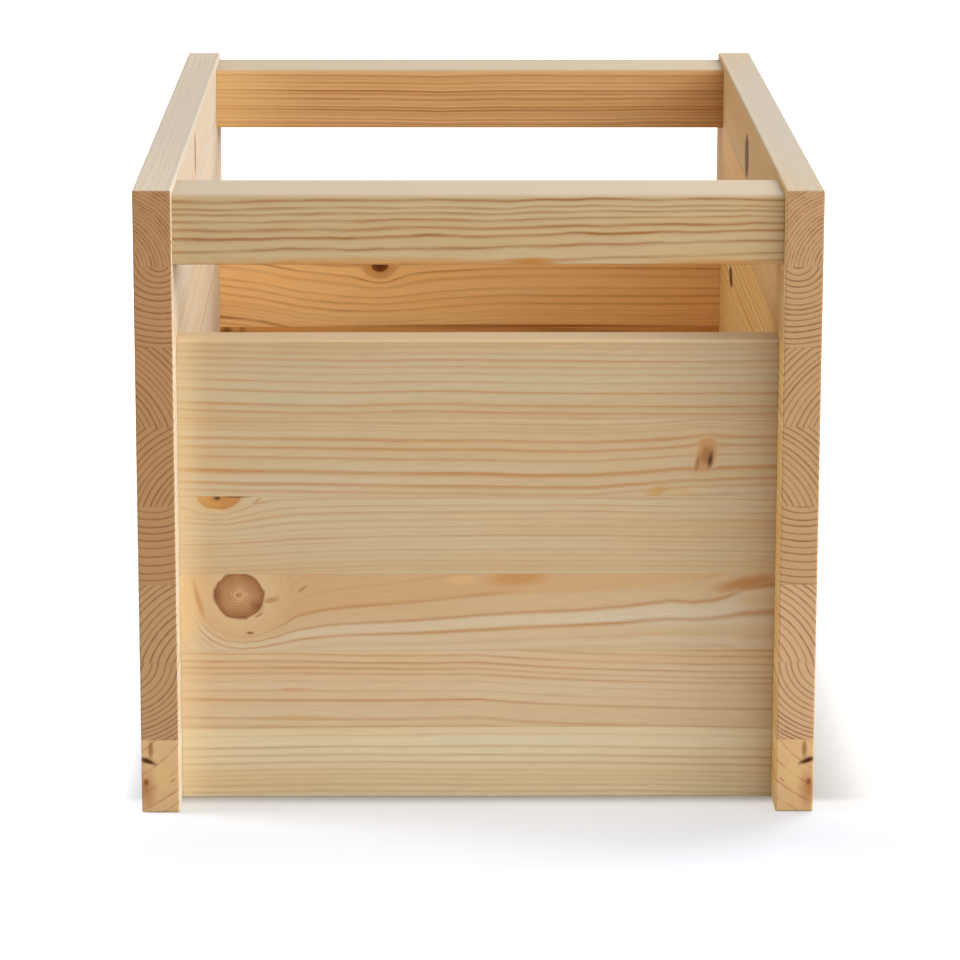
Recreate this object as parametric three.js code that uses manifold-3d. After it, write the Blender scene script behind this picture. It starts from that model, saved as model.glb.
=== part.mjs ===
// Kindling box: an open-topped box of edge-glued pine boards with a grab rail at each end.
// Millimetres, +Z up. The origin is on the floor under the middle of the box; the front looks towards -Y.
// Every board is sawn into the staves that it is glued up from, and each stave is a solid of its own.

import * as THREE from 'three';
import { mergeVertices } from 'three/addons/utils/BufferGeometryUtils.js';
import Module from 'manifold-3d';

const wasm = await Module();
wasm.setup();

// ---- driving dimensions ----

const boxWidth = 320; // over the outer faces of the side boards, along X
const boxDepth = 480; // length of the side boards, along Y
const boxHeight = 300; // height of the side boards

const sideThickness = 18;
const panelThickness = 18; // front and back boards
const panelHeight = 225; // front and back boards, from the floor up
const panelSetback = 25; // outer face of a panel behind the end of the side boards

const railDepth = 43; // grab rail section along Y
const railHeight = 33; // grab rail section along Z
const railSetback = 6; // outer face of a rail behind the end of the side boards
const railDrop = 3; // top of a rail below the top of the side boards

const bottomThickness = 18;
const bottomLift = 10; // underside of the bottom board above the floor

const staveWidth = 38; // staves of the glued-up boards, edge to edge
const firstSideStave = 36; // lowest stave of a side board, cut narrower
const leastStave = 6; // an edge strip narrower than this is left on its neighbour
const easedEdge = 1.5; // radius of the eased arrises

const dowelDiameter = 8;
const dowelLength = 30;
const dowelInSide = 11; // how deep a dowel sits in a side board
const dowelChamfer = 1;
const dowelFluteDepth = 0.25;
const dowelClearance = 0.3; // round the dowel, in its hole
const dowelEndRoom = 1; // glue space past each end of the dowel
const railDowelSpacing = 22; // between the two dowels in one end of a rail
const panelDowelStave = 2; // the stave whose ends are dowelled, counted from each edge of a panel
const bottomDowelFromEnd = 47; // outer dowels of the bottom board, from its front and back ends

const easedSteps = 3; // flats that make up a rounded arris
const fluteCount = 12;
const holeSides = 20;

// ---- colours ----

const pineFace = { color: 0xd2b48a, roughness: 0.62, metalness: 0 };
const pineRail = { color: 0xcfae7c, roughness: 0.6, metalness: 0 };
const beechDowel = { color: 0xc79f6d, roughness: 0.7, metalness: 0 };

// ---- places worked out from the sizes ----

const innerHalfWidth = boxWidth / 2 - sideThickness;
const innerWidth = 2 * innerHalfWidth;
const railTop = boxHeight - railDrop;
const railMiddle = {
  y: boxDepth / 2 - railSetback - railDepth / 2,
  z: railTop - railHeight / 2,
};
const panelMiddleY = boxDepth / 2 - panelSetback - panelThickness / 2;
const bottomLength = 2 * (panelMiddleY - panelThickness / 2);
const bottomMiddleZ = bottomLift + bottomThickness / 2;

const box = new THREE.Group();

// ---- helpers ----

// A closed BufferGeometry as a solid that can be cut.
function toSolid(geometry) {
  const bare = geometry.index ? geometry.toNonIndexed() : geometry.clone();
  bare.deleteAttribute('normal');
  bare.deleteAttribute('uv');
  const merged = mergeVertices(bare, 1e-4);
  return new wasm.Manifold(new wasm.Mesh({
    numProp: 3,
    vertProperties: new Float32Array(merged.attributes.position.array),
    triVerts: new Uint32Array(merged.index.array),
  }));
}

function toGeometry(solid) {
  const mesh = solid.getMesh();
  const geometry = new THREE.BufferGeometry();
  geometry.setAttribute('position', new THREE.BufferAttribute(mesh.vertProperties, mesh.numProp));
  geometry.setIndex(new THREE.BufferAttribute(mesh.triVerts, 1));
  geometry.computeVertexNormals();
  return geometry;
}

function addPiece(name, geometry, finish) {
  const mesh = new THREE.Mesh(geometry, new THREE.MeshStandardMaterial(finish));
  mesh.name = name;
  box.add(mesh);
}

// A rectangle about the origin whose corners are rounded by the eased radius.
function easedRectangle(width, height) {
  const r = easedEdge;
  const x = width / 2;
  const y = height / 2;
  const shape = new THREE.Shape();
  shape.moveTo(x, -y + r);
  shape.lineTo(x, y - r);
  shape.absarc(x - r, y - r, r, 0, Math.PI / 2, false);
  shape.lineTo(-x + r, y);
  shape.absarc(-x + r, y - r, r, Math.PI / 2, Math.PI, false);
  shape.lineTo(-x, -y + r);
  shape.absarc(-x + r, -y + r, r, Math.PI, 1.5 * Math.PI, false);
  shape.lineTo(x - r, -y);
  shape.absarc(x - r, -y + r, r, 1.5 * Math.PI, 2 * Math.PI, false);
  return shape;
}

// Turns an outline's own axes to Y and Z, and the way that it is extruded to X.
const extrudeAlongX = new THREE.Matrix4().makeBasis(
  new THREE.Vector3(0, 1, 0),
  new THREE.Vector3(0, 0, 1),
  new THREE.Vector3(1, 0, 0),
);

// A length of stock along X, its section (Y by Z) eased along the four long arrises, its ends sawn square.
function easedStock(length, sectionY, sectionZ, middleY, middleZ) {
  const geometry = new THREE.ExtrudeGeometry(easedRectangle(sectionY, sectionZ), {
    depth: length,
    steps: 1,
    curveSegments: easedSteps,
    bevelEnabled: false,
  });
  geometry.applyMatrix4(extrudeAlongX);
  geometry.translate(-length / 2, middleY, middleZ);
  return toSolid(geometry);
}

// A side board with all its arrises eased, its inner face towards the middle of the box.
function easedSideBoard(side) {
  const geometry = new THREE.ExtrudeGeometry(
    easedRectangle(boxDepth - 2 * easedEdge, boxHeight - 2 * easedEdge),
    {
      depth: sideThickness - 2 * easedEdge,
      steps: 1,
      curveSegments: easedSteps,
      bevelEnabled: true,
      bevelThickness: easedEdge,
      bevelSize: easedEdge,
      bevelSegments: easedSteps,
    },
  );
  geometry.applyMatrix4(extrudeAlongX);
  const thicknessMiddle = sideThickness / 2 - easedEdge;
  geometry.translate(side * (innerHalfWidth + sideThickness / 2) - thicknessMiddle, 0, boxHeight / 2);
  return toSolid(geometry);
}

function slab(sizeX, sizeY, sizeZ, x, y, z) {
  const geometry = new THREE.BoxGeometry(sizeX, sizeY, sizeZ);
  geometry.translate(x, y, z);
  return toSolid(geometry);
}

// Distances across a board at which its staves meet, from a first stave on, ending at the board's own width.
function seams(total, first) {
  const heights = [0];
  for (let at = first; at < total - leastStave; at += staveWidth) heights.push(at);
  heights.push(total);
  return heights;
}

// Saws a board into its staves, which meet at the given distances along an axis.
function addStaves(boardName, board, axis, cuts) {
  for (let i = 1; i < cuts.length; i += 1) {
    const width = cuts[i] - cuts[i - 1];
    const middle = cuts[i - 1] + width / 2;
    const stave = axis === 'x'
      ? slab(width, boxDepth * 2, boxHeight * 2, middle, 0, 0)
      : slab(boxWidth * 2, boxDepth * 2, width, 0, 0, middle);
    addPiece(`${boardName}_stave_${i}`, toGeometry(board.intersect(stave)), pineFace);
  }
}

// ---- dowels ----

// Each dowel lies along X across the joint at a side board's inner face.
// side is -1 on the left and 1 on the right; y and z place its centre line.
function dowelMiddleX(side) {
  return side * (innerHalfWidth + dowelInSide - dowelLength / 2);
}

// Round stock with shallow flutes along it for the glue.
function flutedOutline() {
  const shape = new THREE.Shape();
  const radius = dowelDiameter / 2;
  const points = fluteCount * 2;
  for (let i = 0; i < points; i += 1) {
    const angle = (i / points) * 2 * Math.PI;
    const r = i % 2 === 0 ? radius : radius - dowelFluteDepth;
    const x = r * Math.cos(angle);
    const y = r * Math.sin(angle);
    if (i === 0) shape.moveTo(x, y);
    else shape.lineTo(x, y);
  }
  shape.closePath();
  return shape;
}

// The space inside the two chamfered ends, wider than the dowel between them.
function chamferedSpace() {
  const wide = dowelDiameter / 2 + dowelChamfer;
  const narrow = dowelDiameter / 2 - dowelChamfer;
  const half = dowelLength / 2;
  const profile = [
    new THREE.Vector2(0, -half),
    new THREE.Vector2(narrow, -half),
    new THREE.Vector2(wide, -half + 2 * dowelChamfer),
    new THREE.Vector2(wide, half - 2 * dowelChamfer),
    new THREE.Vector2(narrow, half),
    new THREE.Vector2(0, half),
  ];
  return new THREE.LatheGeometry(profile, fluteCount * 2);
}

function makeDowel() {
  const stock = new THREE.ExtrudeGeometry(flutedOutline(), {
    depth: dowelLength + 2 * dowelChamfer,
    steps: 1,
    bevelEnabled: false,
  });
  stock.translate(0, 0, -dowelLength / 2 - dowelChamfer);
  stock.rotateY(Math.PI / 2);
  const space = chamferedSpace();
  space.rotateZ(Math.PI / 2);
  return toGeometry(toSolid(stock).intersect(toSolid(space)));
}

const dowelStock = makeDowel();

function dowelGeometry({ side, y, z }) {
  return dowelStock.clone().translate(dowelMiddleX(side), y, z);
}

function dowelHole({ side, y, z }) {
  const length = dowelLength + 2 * dowelEndRoom;
  const geometry = new THREE.CylinderGeometry(
    dowelDiameter / 2 + dowelClearance,
    dowelDiameter / 2 + dowelClearance,
    length,
    holeSides,
  );
  geometry.rotateZ(Math.PI / 2);
  geometry.translate(dowelMiddleX(side), y, z);
  return toSolid(geometry);
}

const dowels = [];
const holes = [];

function addDowel(name, place) {
  dowels.push({ name, place });
  holes.push(dowelHole(place));
}

function drill(solid) {
  return holes.reduce((left, hole) => left.subtract(hole), solid);
}

// ---- dowel places, which every board is then drilled for ----

const sides = [
  { word: 'left', sign: -1 },
  { word: 'right', sign: 1 },
];
const ends = [
  { rail: 'front_top_rail', railWord: 'front_rail', panel: 'front_panel', sign: -1 },
  { rail: 'rear_top_rail', railWord: 'rear_rail', panel: 'back_panel', sign: 1 },
];

// A panel's staves are whole from its top edge down; the lowest is what is left.
const wholePanelStaves = Math.floor((panelHeight - leastStave) / staveWidth);
const firstPanelStave = panelHeight - wholePanelStaves * staveWidth;
const panelSeams = seams(panelHeight, firstPanelStave);
const panelDowelStaves = [panelDowelStave, panelSeams.length - panelDowelStave];

for (const end of ends) {
  for (const side of sides) {
    [-1, 1].forEach((step, i) => {
      const y = end.sign * railMiddle.y + (step * railDowelSpacing) / 2;
      addDowel(`${end.railWord}_dowel_${side.word}_${i + 1}`, { side: side.sign, y, z: railMiddle.z });
    });
    panelDowelStaves.forEach((stave, i) => {
      const z = (panelSeams[stave - 1] + panelSeams[stave]) / 2;
      const y = end.sign * panelMiddleY;
      addDowel(`${end.panel}_dowel_${side.word}_${i + 1}`, { side: side.sign, y, z });
    });
  }
}
for (const side of sides) {
  [-1, 0, 1].forEach((step, i) => {
    const y = step * (bottomLength / 2 - bottomDowelFromEnd);
    addDowel(`bottom_dowel_${side.word}_${i + 1}`, { side: side.sign, y, z: bottomMiddleZ });
  });
}

// ---- side boards ----

const sideSeams = seams(boxHeight, firstSideStave);
for (const side of sides) {
  addStaves(`${side.word}_side`, drill(easedSideBoard(side.sign)), 'z', sideSeams);
}

// ---- front and back panels, and the grab rails above them ----

for (const end of ends) {
  const panel = easedStock(innerWidth, panelThickness, panelHeight, end.sign * panelMiddleY, panelHeight / 2);
  addStaves(end.panel, drill(panel), 'z', panelSeams);
  const rail = easedStock(innerWidth, railDepth, railHeight, end.sign * railMiddle.y, railMiddle.z);
  addPiece(end.rail, toGeometry(drill(rail)), pineRail);
}

// ---- bottom board, its staves running front to back and the two outer ones cut narrower alike ----

const wholeBottomStaves = Math.floor(innerWidth / staveWidth) - 1;
const firstBottomStave = (innerWidth - wholeBottomStaves * staveWidth) / 2;
const bottomSeams = seams(innerWidth, firstBottomStave).map((at) => at - innerHalfWidth);
const bottomBoard = slab(innerWidth, bottomLength, bottomThickness, 0, 0, bottomMiddleZ);
addStaves('bottom_board', drill(bottomBoard), 'x', bottomSeams);

// ---- the dowels themselves ----

for (const { name, place } of dowels) {
  addPiece(name, dowelGeometry(place), beechDowel);
}

export default box;
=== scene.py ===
# Kindling box of planed, edge-glued pine. Places are in metres, wood figure is in millimetres.
import bpy
import bmesh
import random
from math import hypot, radians, tau
from mathutils import Euler, Matrix, Vector


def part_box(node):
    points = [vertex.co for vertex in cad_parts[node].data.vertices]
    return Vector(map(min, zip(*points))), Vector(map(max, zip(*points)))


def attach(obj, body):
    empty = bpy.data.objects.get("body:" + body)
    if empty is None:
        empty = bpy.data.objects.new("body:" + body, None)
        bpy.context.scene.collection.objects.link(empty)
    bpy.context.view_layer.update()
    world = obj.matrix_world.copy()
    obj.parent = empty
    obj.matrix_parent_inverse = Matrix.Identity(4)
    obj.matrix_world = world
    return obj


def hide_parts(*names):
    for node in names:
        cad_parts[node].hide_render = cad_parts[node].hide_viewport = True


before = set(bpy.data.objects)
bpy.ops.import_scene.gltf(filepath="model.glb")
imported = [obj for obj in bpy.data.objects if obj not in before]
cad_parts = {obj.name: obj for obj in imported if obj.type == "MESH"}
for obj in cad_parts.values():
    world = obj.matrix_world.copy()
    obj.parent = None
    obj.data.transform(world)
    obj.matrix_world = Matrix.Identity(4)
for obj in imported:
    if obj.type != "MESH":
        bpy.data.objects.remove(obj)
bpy.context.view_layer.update()  # the box faces -Y, stands on Z 0, and its sides are at X -0.16 and 0.16
millimetres = 1000
farOff = 1000    # mm, further than any board reaches
snap = 1e-5      # m, places closer than this are the same
noiseRoom = 40   # how far from the middle of the noise a piece's own stretch of it may lie
white = (1, 1, 1, 1)


def linear(hexColour):
    # sRGB hex to the linear colour that a shader wants
    parts = [int(hexColour[i:i + 2], 16) / 255 for i in (1, 3, 5)]
    return [p / 12.92 if p <= 0.04045 else ((p + 0.055) / 1.055) ** 2.4 for p in parts] + [1]


def addNode(tree, kind, links=None, points=None, stops=None, **settings):
    # one shader node: its settings, its curve points or ramp stops, and what goes into each socket
    node = tree.nodes.new("ShaderNode" + kind)
    for name, value in settings.items():
        setattr(node, name, value)
    if points:
        node.mapping.use_clip = False
        curve = node.mapping.curves[0]
        curve.points[0].location = points[0]
        curve.points[1].location = points[-1]
        for point in points[1:-1]:
            curve.points.new(*point)
        for point in curve.points:
            point.handle_type = "VECTOR"
        node.mapping.update()
    if stops:
        ramp = node.color_ramp
        for i, (place, colour) in enumerate(stops):
            stop = ramp.elements[i] if i < 2 else ramp.elements.new(place)
            stop.position = place
            stop.color = linear(colour)
    for socket, value in (links or {}).items():
        if isinstance(value, bpy.types.NodeSocket):
            tree.links.new(value, node.inputs[socket])
        else:
            node.inputs[socket].default_value = value
    return node


# the pine, then a year, a knot and a mark where a piece says nothing else
pine = {
    "earlywood": "#D1BD99",       # cream wood of spring
    "warmEarlywood": "#CEAB7B",   # the same where resin has warmed it
    "latewood": "#AE773C",        # amber line that closes a year
    "endEarlywood": "#BE9468",    # end grain drinks the light and looks darker
    "endLatewood": "#84563A",
    "glue": "#9A7446",
    "tone": 0.4,                  # share of the warmer wood
    "toneSpread": 0.35,
    "lineWidth": 1.1,             # latewood of one year, mm
    "faint": 0.45,                # how strong a line still is where it pales most
    "wander": 1.0,                # how far the grain sways, mm
    "wanderLength": (90, 26),     # length of a sway along and across the grain, mm
    "toneLength": (260, 11),      # streaks of warmer wood, mm
    "fadeLength": (70, 4),        # how soon a line pales and darkens again, mm
    "fibreLength": (16, 0.55),    # fibres, drawn coarser than real ones so that they show, mm
    "fibreShade": (0.93, 1.05),
    "gnarl": 0.16,                # bumps per mm, for the ragged outline of knots and marks
    "warmEdge": (0.4, 0.3),       # how soon darker wood sets in before and past a line, mm
    "seamWidth": 0.22,            # glue line on each stave, mm
    "seamStrength": 0.4,
    "ior": 1.45,
    "roughness": (0.42, 0.52),    # latewood planes smoother than earlywood
    "specular": 0.3,              # bare wood, neither oiled nor waxed, has little sheen
    "endRoughness": 0.72,
    "grainDepth": 0.00006,        # how far the soft earlywood lies below the latewood, m
    "fibreRelief": 0.7,           # fibres' share in that
    "reliefStrength": 0.6,
    "knots": [], "marks": [],
}
year = {
    "beyond": 5,                  # rings go on so far past the section, mm
    "spread": (0.82, 1.2),        # one year's width against the stave's own spacing
    "innerDark": (0.5, 0.9),      # rings between the pith and the measured lines
    "outerDark": (0.6, 1.0),
    "mostLatewood": 0.62,         # share of a year
    "startDark": 0.10,            # latewood comes on slowly, is fullest near its end and stops at once
    "fullBefore": 0.38,           # shares of the line's own width
    "endDark": 0.9,
    "stop": 0.22,
    "stopGap": 0.12,              # share of the year
}
plainKnot = {
    "tilt": 0, "ragged": 0.2, "strength": 1.0,
    "edge": (1.03, 0.94),                 # soft edge, in knot radii
    "spread": 1.25, "fall": 2, "push": 1,  # how far, how abruptly and how much the lines give way to it
    "rise": 0,                            # swells the rings too, mm
    "halo": "#D0A268", "haloFrom": 0.95, "haloReach": 1.9, "haloStrength": 0.55,
    "years": 0, "yearLine": "#714421", "yearDark": 0.5,
}
plainMark = {"tilt": (0, 0, 0), "ragged": 0.5, "edge": 1.1, "core": 0.3, "strength": 0.7}


def growthRings(look, cross, rng):
    # darkness against distance from the pith, as curve points; cross is the stave's section, mm
    pithA, pithB = look["pith"]
    (lowA, highA), (lowB, highB) = cross
    nearest = hypot(max(lowA - pithA, 0, pithA - highA), max(lowB - pithB, 0, pithB - highB))
    farthest = max(hypot(a - pithA, b - pithB) for a in cross[0] for b in cross[1])
    first, last = max(nearest - year["beyond"], 0), farthest + year["beyond"]
    near, far = look["spacing"]
    rings = []
    for line in look.get("lines", []):
        height, dark = line[:2]
        width = line[2] if len(line) > 2 else look["lineWidth"]
        rings.append((hypot(look["face"] - pithA, lowB + height - pithB), dark, width))
    rings.sort()

    def drawn(radius):
        # width of a year that no measured line gives
        share = (radius - first) / (last - first)
        return (near + (far - near) * share) * rng.uniform(*year["spread"])

    radius = first
    if rings:
        radius = rings[0][0]
        while radius > first:
            radius -= drawn(radius)
            rings.insert(0, (radius, rng.uniform(*year["innerDark"]), look["lineWidth"]))
        radius = rings[-1][0]
    while radius < last:
        radius += drawn(radius)
        rings.append((radius, rng.uniform(*year["outerDark"]), look["lineWidth"]))
    points = []
    before = rings[0][0] - near
    for radius, dark, width in rings:
        gap = radius - before
        width = min(width, year["mostLatewood"] * gap)
        points.append((radius - width, year["startDark"] * dark))
        points.append((radius - year["fullBefore"] * width, dark))
        points.append((radius, year["endDark"] * dark))
        points.append((radius + min(year["stop"] * width, year["stopGap"] * gap), 0.0))
        before = radius
    return [p for p in points if p[0] > 0]


def stretchedNoise(tree, place, lengths, seed=(0, 0, 0), detail=2, roughness=0.5):
    # noise drawn out along the grain
    along, across = lengths
    noiseAt = addNode(tree, "Mapping", {
        "Vector": place, "Scale": (1 / along, 1 / across, 1 / across), "Location": seed})
    return addNode(tree, "TexNoise", {
        "Vector": noiseAt.outputs[0], "Scale": 1, "Detail": detail, "Roughness": roughness})


def raggedReach(tree, place, gnarl, at, size, tilt, ragged):
    # distance from the middle of a spot with a ragged outline, 1 on the outline
    spotAt = addNode(tree, "Mapping", {
        "Vector": place, "Location": at, "Scale": size, "Rotation": [radians(a) for a in tilt]},
        vector_type="TEXTURE")
    rough = addNode(tree, "VectorMath", {
        0: gnarl.outputs["Color"], 1: ragged, 2: spotAt.outputs[0]}, operation="MULTIPLY_ADD")
    centred = addNode(tree, "VectorMath", {0: rough.outputs[0], 1: [r / 2 for r in ragged]},
                      operation="SUBTRACT")
    return addNode(tree, "VectorMath", {0: centred.outputs[0]}, operation="LENGTH").outputs["Value"]


def planedPine(name, look, cross):
    # pine, planed and sanded: matt cream wood with amber growth lines, the same rings on faces and ends
    rng = random.Random(name)
    seed = look.get("noiseSeed", [rng.uniform(-noiseRoom, noiseRoom) for _ in range(3)])
    material = bpy.data.materials.new("planed pine, " + name.replace("_", " "))
    material.use_nodes = True
    tree = material.node_tree
    tree.nodes.clear()
    place = addNode(tree, "TexCoord")
    board = addNode(tree, "Mapping", {
        "Vector": place.outputs["Object"], "Scale": look["scale"], "Rotation": look["turn"],
        "Location": look["start"]}).outputs[0]  # mm: along the grain, through the board, across its width

    # slow sway of the grain
    wander = stretchedNoise(tree, board, look["wanderLength"], seed, detail=2.5, roughness=0.42)
    swayed = addNode(tree, "VectorMath", {
        0: wander.outputs["Color"], 1: (0, 2 * look["wander"], 2 * look["wander"]), 2: board},
        operation="MULTIPLY_ADD")
    parts = addNode(tree, "SeparateXYZ", {0: swayed.outputs[0]})
    boardParts = addNode(tree, "SeparateXYZ", {0: board})
    height = parts.outputs["Z"]

    # drift of the lines along the board, at its lower and its upper edge
    if "drift" in look:
        low = addNode(tree, "FloatCurve", {"Value": parts.outputs["X"]},
                      points=[(p[0], p[1]) for p in look["drift"]])
        high = addNode(tree, "FloatCurve", {"Value": parts.outputs["X"]},
                       points=[(p[0], p[-1]) for p in look["drift"]])
        share = addNode(tree, "MapRange", {
            "Value": boardParts.outputs["Z"], "From Min": cross[1][0], "From Max": cross[1][1]})
        drift = addNode(tree, "Mix", {
            "Factor": share.outputs[0], "A": low.outputs[0], "B": high.outputs[0]})
        height = addNode(tree, "Math", {0: height, 1: drift.outputs[0]},
                         operation="SUBTRACT").outputs[0]

    # knots push the grain round them
    gnarl = addNode(tree, "TexNoise", {
        "Vector": board, "Scale": look["gnarl"], "Detail": 4, "Roughness": 0.55})
    knots = []
    swell = None
    for knot in look["knots"]:
        knot = {**plainKnot, **knot}
        knotAlong, knotHeight = knot["at"]
        halfLong, halfHigh = knot["size"]
        reach = raggedReach(
            tree, board, gnarl, (knotAlong, 0, knotHeight), (halfLong, farOff, halfHigh),
            (0, knot["tilt"], 0), (knot["ragged"], 0, knot["ragged"]))
        fall = knot["fall"]
        pull = addNode(tree, "Math", {0: reach, 1: -fall}, operation="POWER")
        wide = addNode(tree, "Math", {0: pull.outputs[0], 1: knot["spread"] ** fall},
                       operation="MULTIPLY")
        held = addNode(tree, "Math", {0: wide.outputs[0], 1: 1}, operation="MINIMUM")
        above = addNode(tree, "Math", {0: boardParts.outputs["Z"], 1: knotHeight},
                        operation="SUBTRACT")
        push = addNode(tree, "Math", {0: above.outputs[0], 1: held.outputs[0]},
                       operation="MULTIPLY")
        height = addNode(tree, "Math", {0: push.outputs[0], 1: -knot["push"], 2: height},
                         operation="MULTIPLY_ADD").outputs[0]
        if knot["rise"]:
            swell = addNode(tree, "Math", {0: held.outputs[0], 1: knot["rise"], 2: swell or 0.0},
                            operation="MULTIPLY_ADD").outputs[0]
        knots.append((knot, reach))

    # distance from the pith, which leans a little against the board
    lean = Euler((0, radians(look["lean"][1]), radians(look["lean"][0])))
    shift = look["wander"]  # the sway is one-sided, so the pith moves by its mean
    pith = Vector((0, look["pith"][0] + shift, look["pith"][1] + shift))
    bent = addNode(tree, "CombineXYZ", {0: parts.outputs["X"], 1: parts.outputs["Y"], 2: height})
    fromPith = addNode(tree, "Mapping", {
        "Vector": bent.outputs[0], "Rotation": lean, "Location": -(lean.to_matrix() @ pith)})
    flat = addNode(tree, "VectorMath", {0: fromPith.outputs[0], 1: (0, 1, 1)}, operation="MULTIPLY")
    radius = addNode(tree, "VectorMath", {0: flat.outputs[0]}, operation="LENGTH").outputs["Value"]
    if swell:
        radius = addNode(tree, "Math", {0: radius, 1: swell}, operation="ADD").outputs[0]
    rings = addNode(tree, "FloatCurve", {"Value": radius}, points=growthRings(look, cross, rng))

    # each line pales and darkens along its length
    fade = stretchedNoise(tree, swayed.outputs[0], look["fadeLength"], seed)
    faded = addNode(tree, "MapRange", {
        "Value": fade.outputs[0], "From Min": 0.3, "From Max": 0.65, "To Min": look["faint"]})
    line = addNode(tree, "Math", {0: rings.outputs[0], 1: faded.outputs[0]},
                   operation="MULTIPLY", use_clamp=True).outputs[0]

    # streaks of warmer wood, and fibres
    tone = stretchedNoise(tree, swayed.outputs[0], look["toneLength"], seed[::-1])
    toned = addNode(tree, "MapRange", {
        "Value": tone.outputs[0], "From Min": 0.3, "From Max": 0.7,
        "To Min": look["tone"] - look["toneSpread"], "To Max": look["tone"] + look["toneSpread"]})
    fibre = stretchedNoise(tree, board, look["fibreLength"])
    darkest, lightest = look["fibreShade"]
    fibreShade = addNode(tree, "MapRange", {
        "Value": fibre.outputs[0], "From Min": 0.25, "From Max": 0.75, "To Min": darkest,
        "To Max": lightest})

    cream, warm = linear(look["earlywood"]), linear(look["warmEarlywood"])
    if "paintedFaceLight" in look:
        # painted light and shade: toward one face the wood turns to other colours, which stand for how that
        # face is lit
        first, last, paintedFaceCream, paintedFaceWarm = look["paintedFaceLight"]
        depth = addNode(tree, "MapRange", {
            "Value": boardParts.outputs["Y"], "From Min": first, "From Max": last}).outputs[0]
        cream = addNode(tree, "Mix", {
            "Factor": depth, 6: cream, 7: linear(paintedFaceCream)}, data_type="RGBA").outputs[2]
        warm = addNode(tree, "Mix", {
            "Factor": depth, 6: warm, 7: linear(paintedFaceWarm)}, data_type="RGBA").outputs[2]
    face = addNode(tree, "Mix", {"Factor": toned.outputs[0], 6: cream, 7: warm}, data_type="RGBA")
    if "warmYears" in look:
        # past some growth lines the wood is darker
        before, after = look["warmEdge"]
        steps = []
        strength = 0
        for height, share in look["warmYears"][1:]:
            edge = hypot(look["face"] - look["pith"][0], cross[1][0] + height - look["pith"][1])
            steps += [(edge - before, strength), (edge + after, share)]
            strength = share
        past = addNode(tree, "FloatCurve", {"Value": radius}, points=steps)
        face = addNode(tree, "Mix", {
            "Factor": past.outputs[0], 6: face.outputs[2], 7: linear(look["warmYears"][0])}, data_type="RGBA")
    faceLines = addNode(tree, "Mix", {
        "Factor": line, 6: face.outputs[2], 7: linear(look["latewood"])}, data_type="RGBA")
    endLines = addNode(tree, "Mix", {
        "Factor": line, 6: linear(look["endEarlywood"]), 7: linear(look["endLatewood"])}, data_type="RGBA")
    # end grain shows where a face is square to the grain
    ends = addNode(tree, "VectorMath", {
        0: place.outputs["Normal"], 1: look["grainAxis"]}, operation="DOT_PRODUCT")
    endOn = addNode(tree, "Math", {0: ends.outputs["Value"]}, operation="ABSOLUTE")
    isEnd = addNode(tree, "MapRange", {
        "Value": endOn.outputs[0], "From Min": 0.45, "From Max": 0.8}, interpolation_type="SMOOTHSTEP")
    wood = addNode(tree, "Mix", {
        "Factor": isEnd.outputs[0], 6: faceLines.outputs[2], 7: endLines.outputs[2]}, data_type="RGBA")
    wood = addNode(tree, "Mix", {
        "Factor": 1, 6: wood.outputs[2], 7: fibreShade.outputs[0]}, data_type="RGBA", blend_type="MULTIPLY")

    for knot, reach in knots:
        halo = addNode(tree, "MapRange", {
            "Value": reach, "From Min": knot["haloFrom"], "From Max": knot["haloReach"],
            "To Min": knot["haloStrength"], "To Max": 0})
        wood = addNode(tree, "Mix", {
            "Factor": halo.outputs[0], 6: wood.outputs[2], 7: linear(knot["halo"])}, data_type="RGBA")
        branch = addNode(tree, "ValToRGB", {"Fac": reach}, stops=knot["wood"]).outputs[0]
        if knot["years"]:
            # the branch's own growth lines, unevenly dark
            turns = addNode(tree, "Math", {0: reach, 1: tau * knot["years"]}, operation="MULTIPLY")
            wave = addNode(tree, "Math", {0: turns.outputs[0]}, operation="SINE")
            ring = addNode(tree, "MapRange", {
                "Value": wave.outputs[0], "From Min": 0, "To Max": knot["yearDark"]})
            patch = addNode(tree, "MapRange", {
                "Value": gnarl.outputs[0], "From Min": 0.42, "From Max": 0.58, "To Min": 0.25})
            patchy = addNode(tree, "Math", {0: ring.outputs[0], 1: patch.outputs[0]},
                             operation="MULTIPLY")
            branch = addNode(tree, "Mix", {
                "Factor": patchy.outputs[0], 6: branch, 7: linear(knot["yearLine"])},
                data_type="RGBA").outputs[2]
        outermost, innermost = knot["edge"]
        inside = addNode(tree, "MapRange", {
            "Value": reach, "From Min": outermost, "From Max": innermost, "To Max": knot["strength"]},
            interpolation_type="SMOOTHSTEP")
        wood = addNode(tree, "Mix", {
            "Factor": inside.outputs[0], 6: wood.outputs[2], 7: branch}, data_type="RGBA")

    # flecks, resin and stains: soft spots of another colour
    for mark in look["marks"]:
        mark = {**plainMark, **mark}
        reach = raggedReach(tree, board, gnarl, mark["at"], mark["size"], mark["tilt"], (mark["ragged"],) * 3)
        spot = addNode(tree, "MapRange", {
            "Value": reach, "From Min": mark["edge"], "From Max": mark["core"],
            "To Max": mark["strength"]}, interpolation_type="SMOOTHSTEP")
        wood = addNode(tree, "Mix", {
            "Factor": spot.outputs[0], 6: wood.outputs[2], 7: linear(mark["colour"])}, data_type="RGBA")

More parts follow.
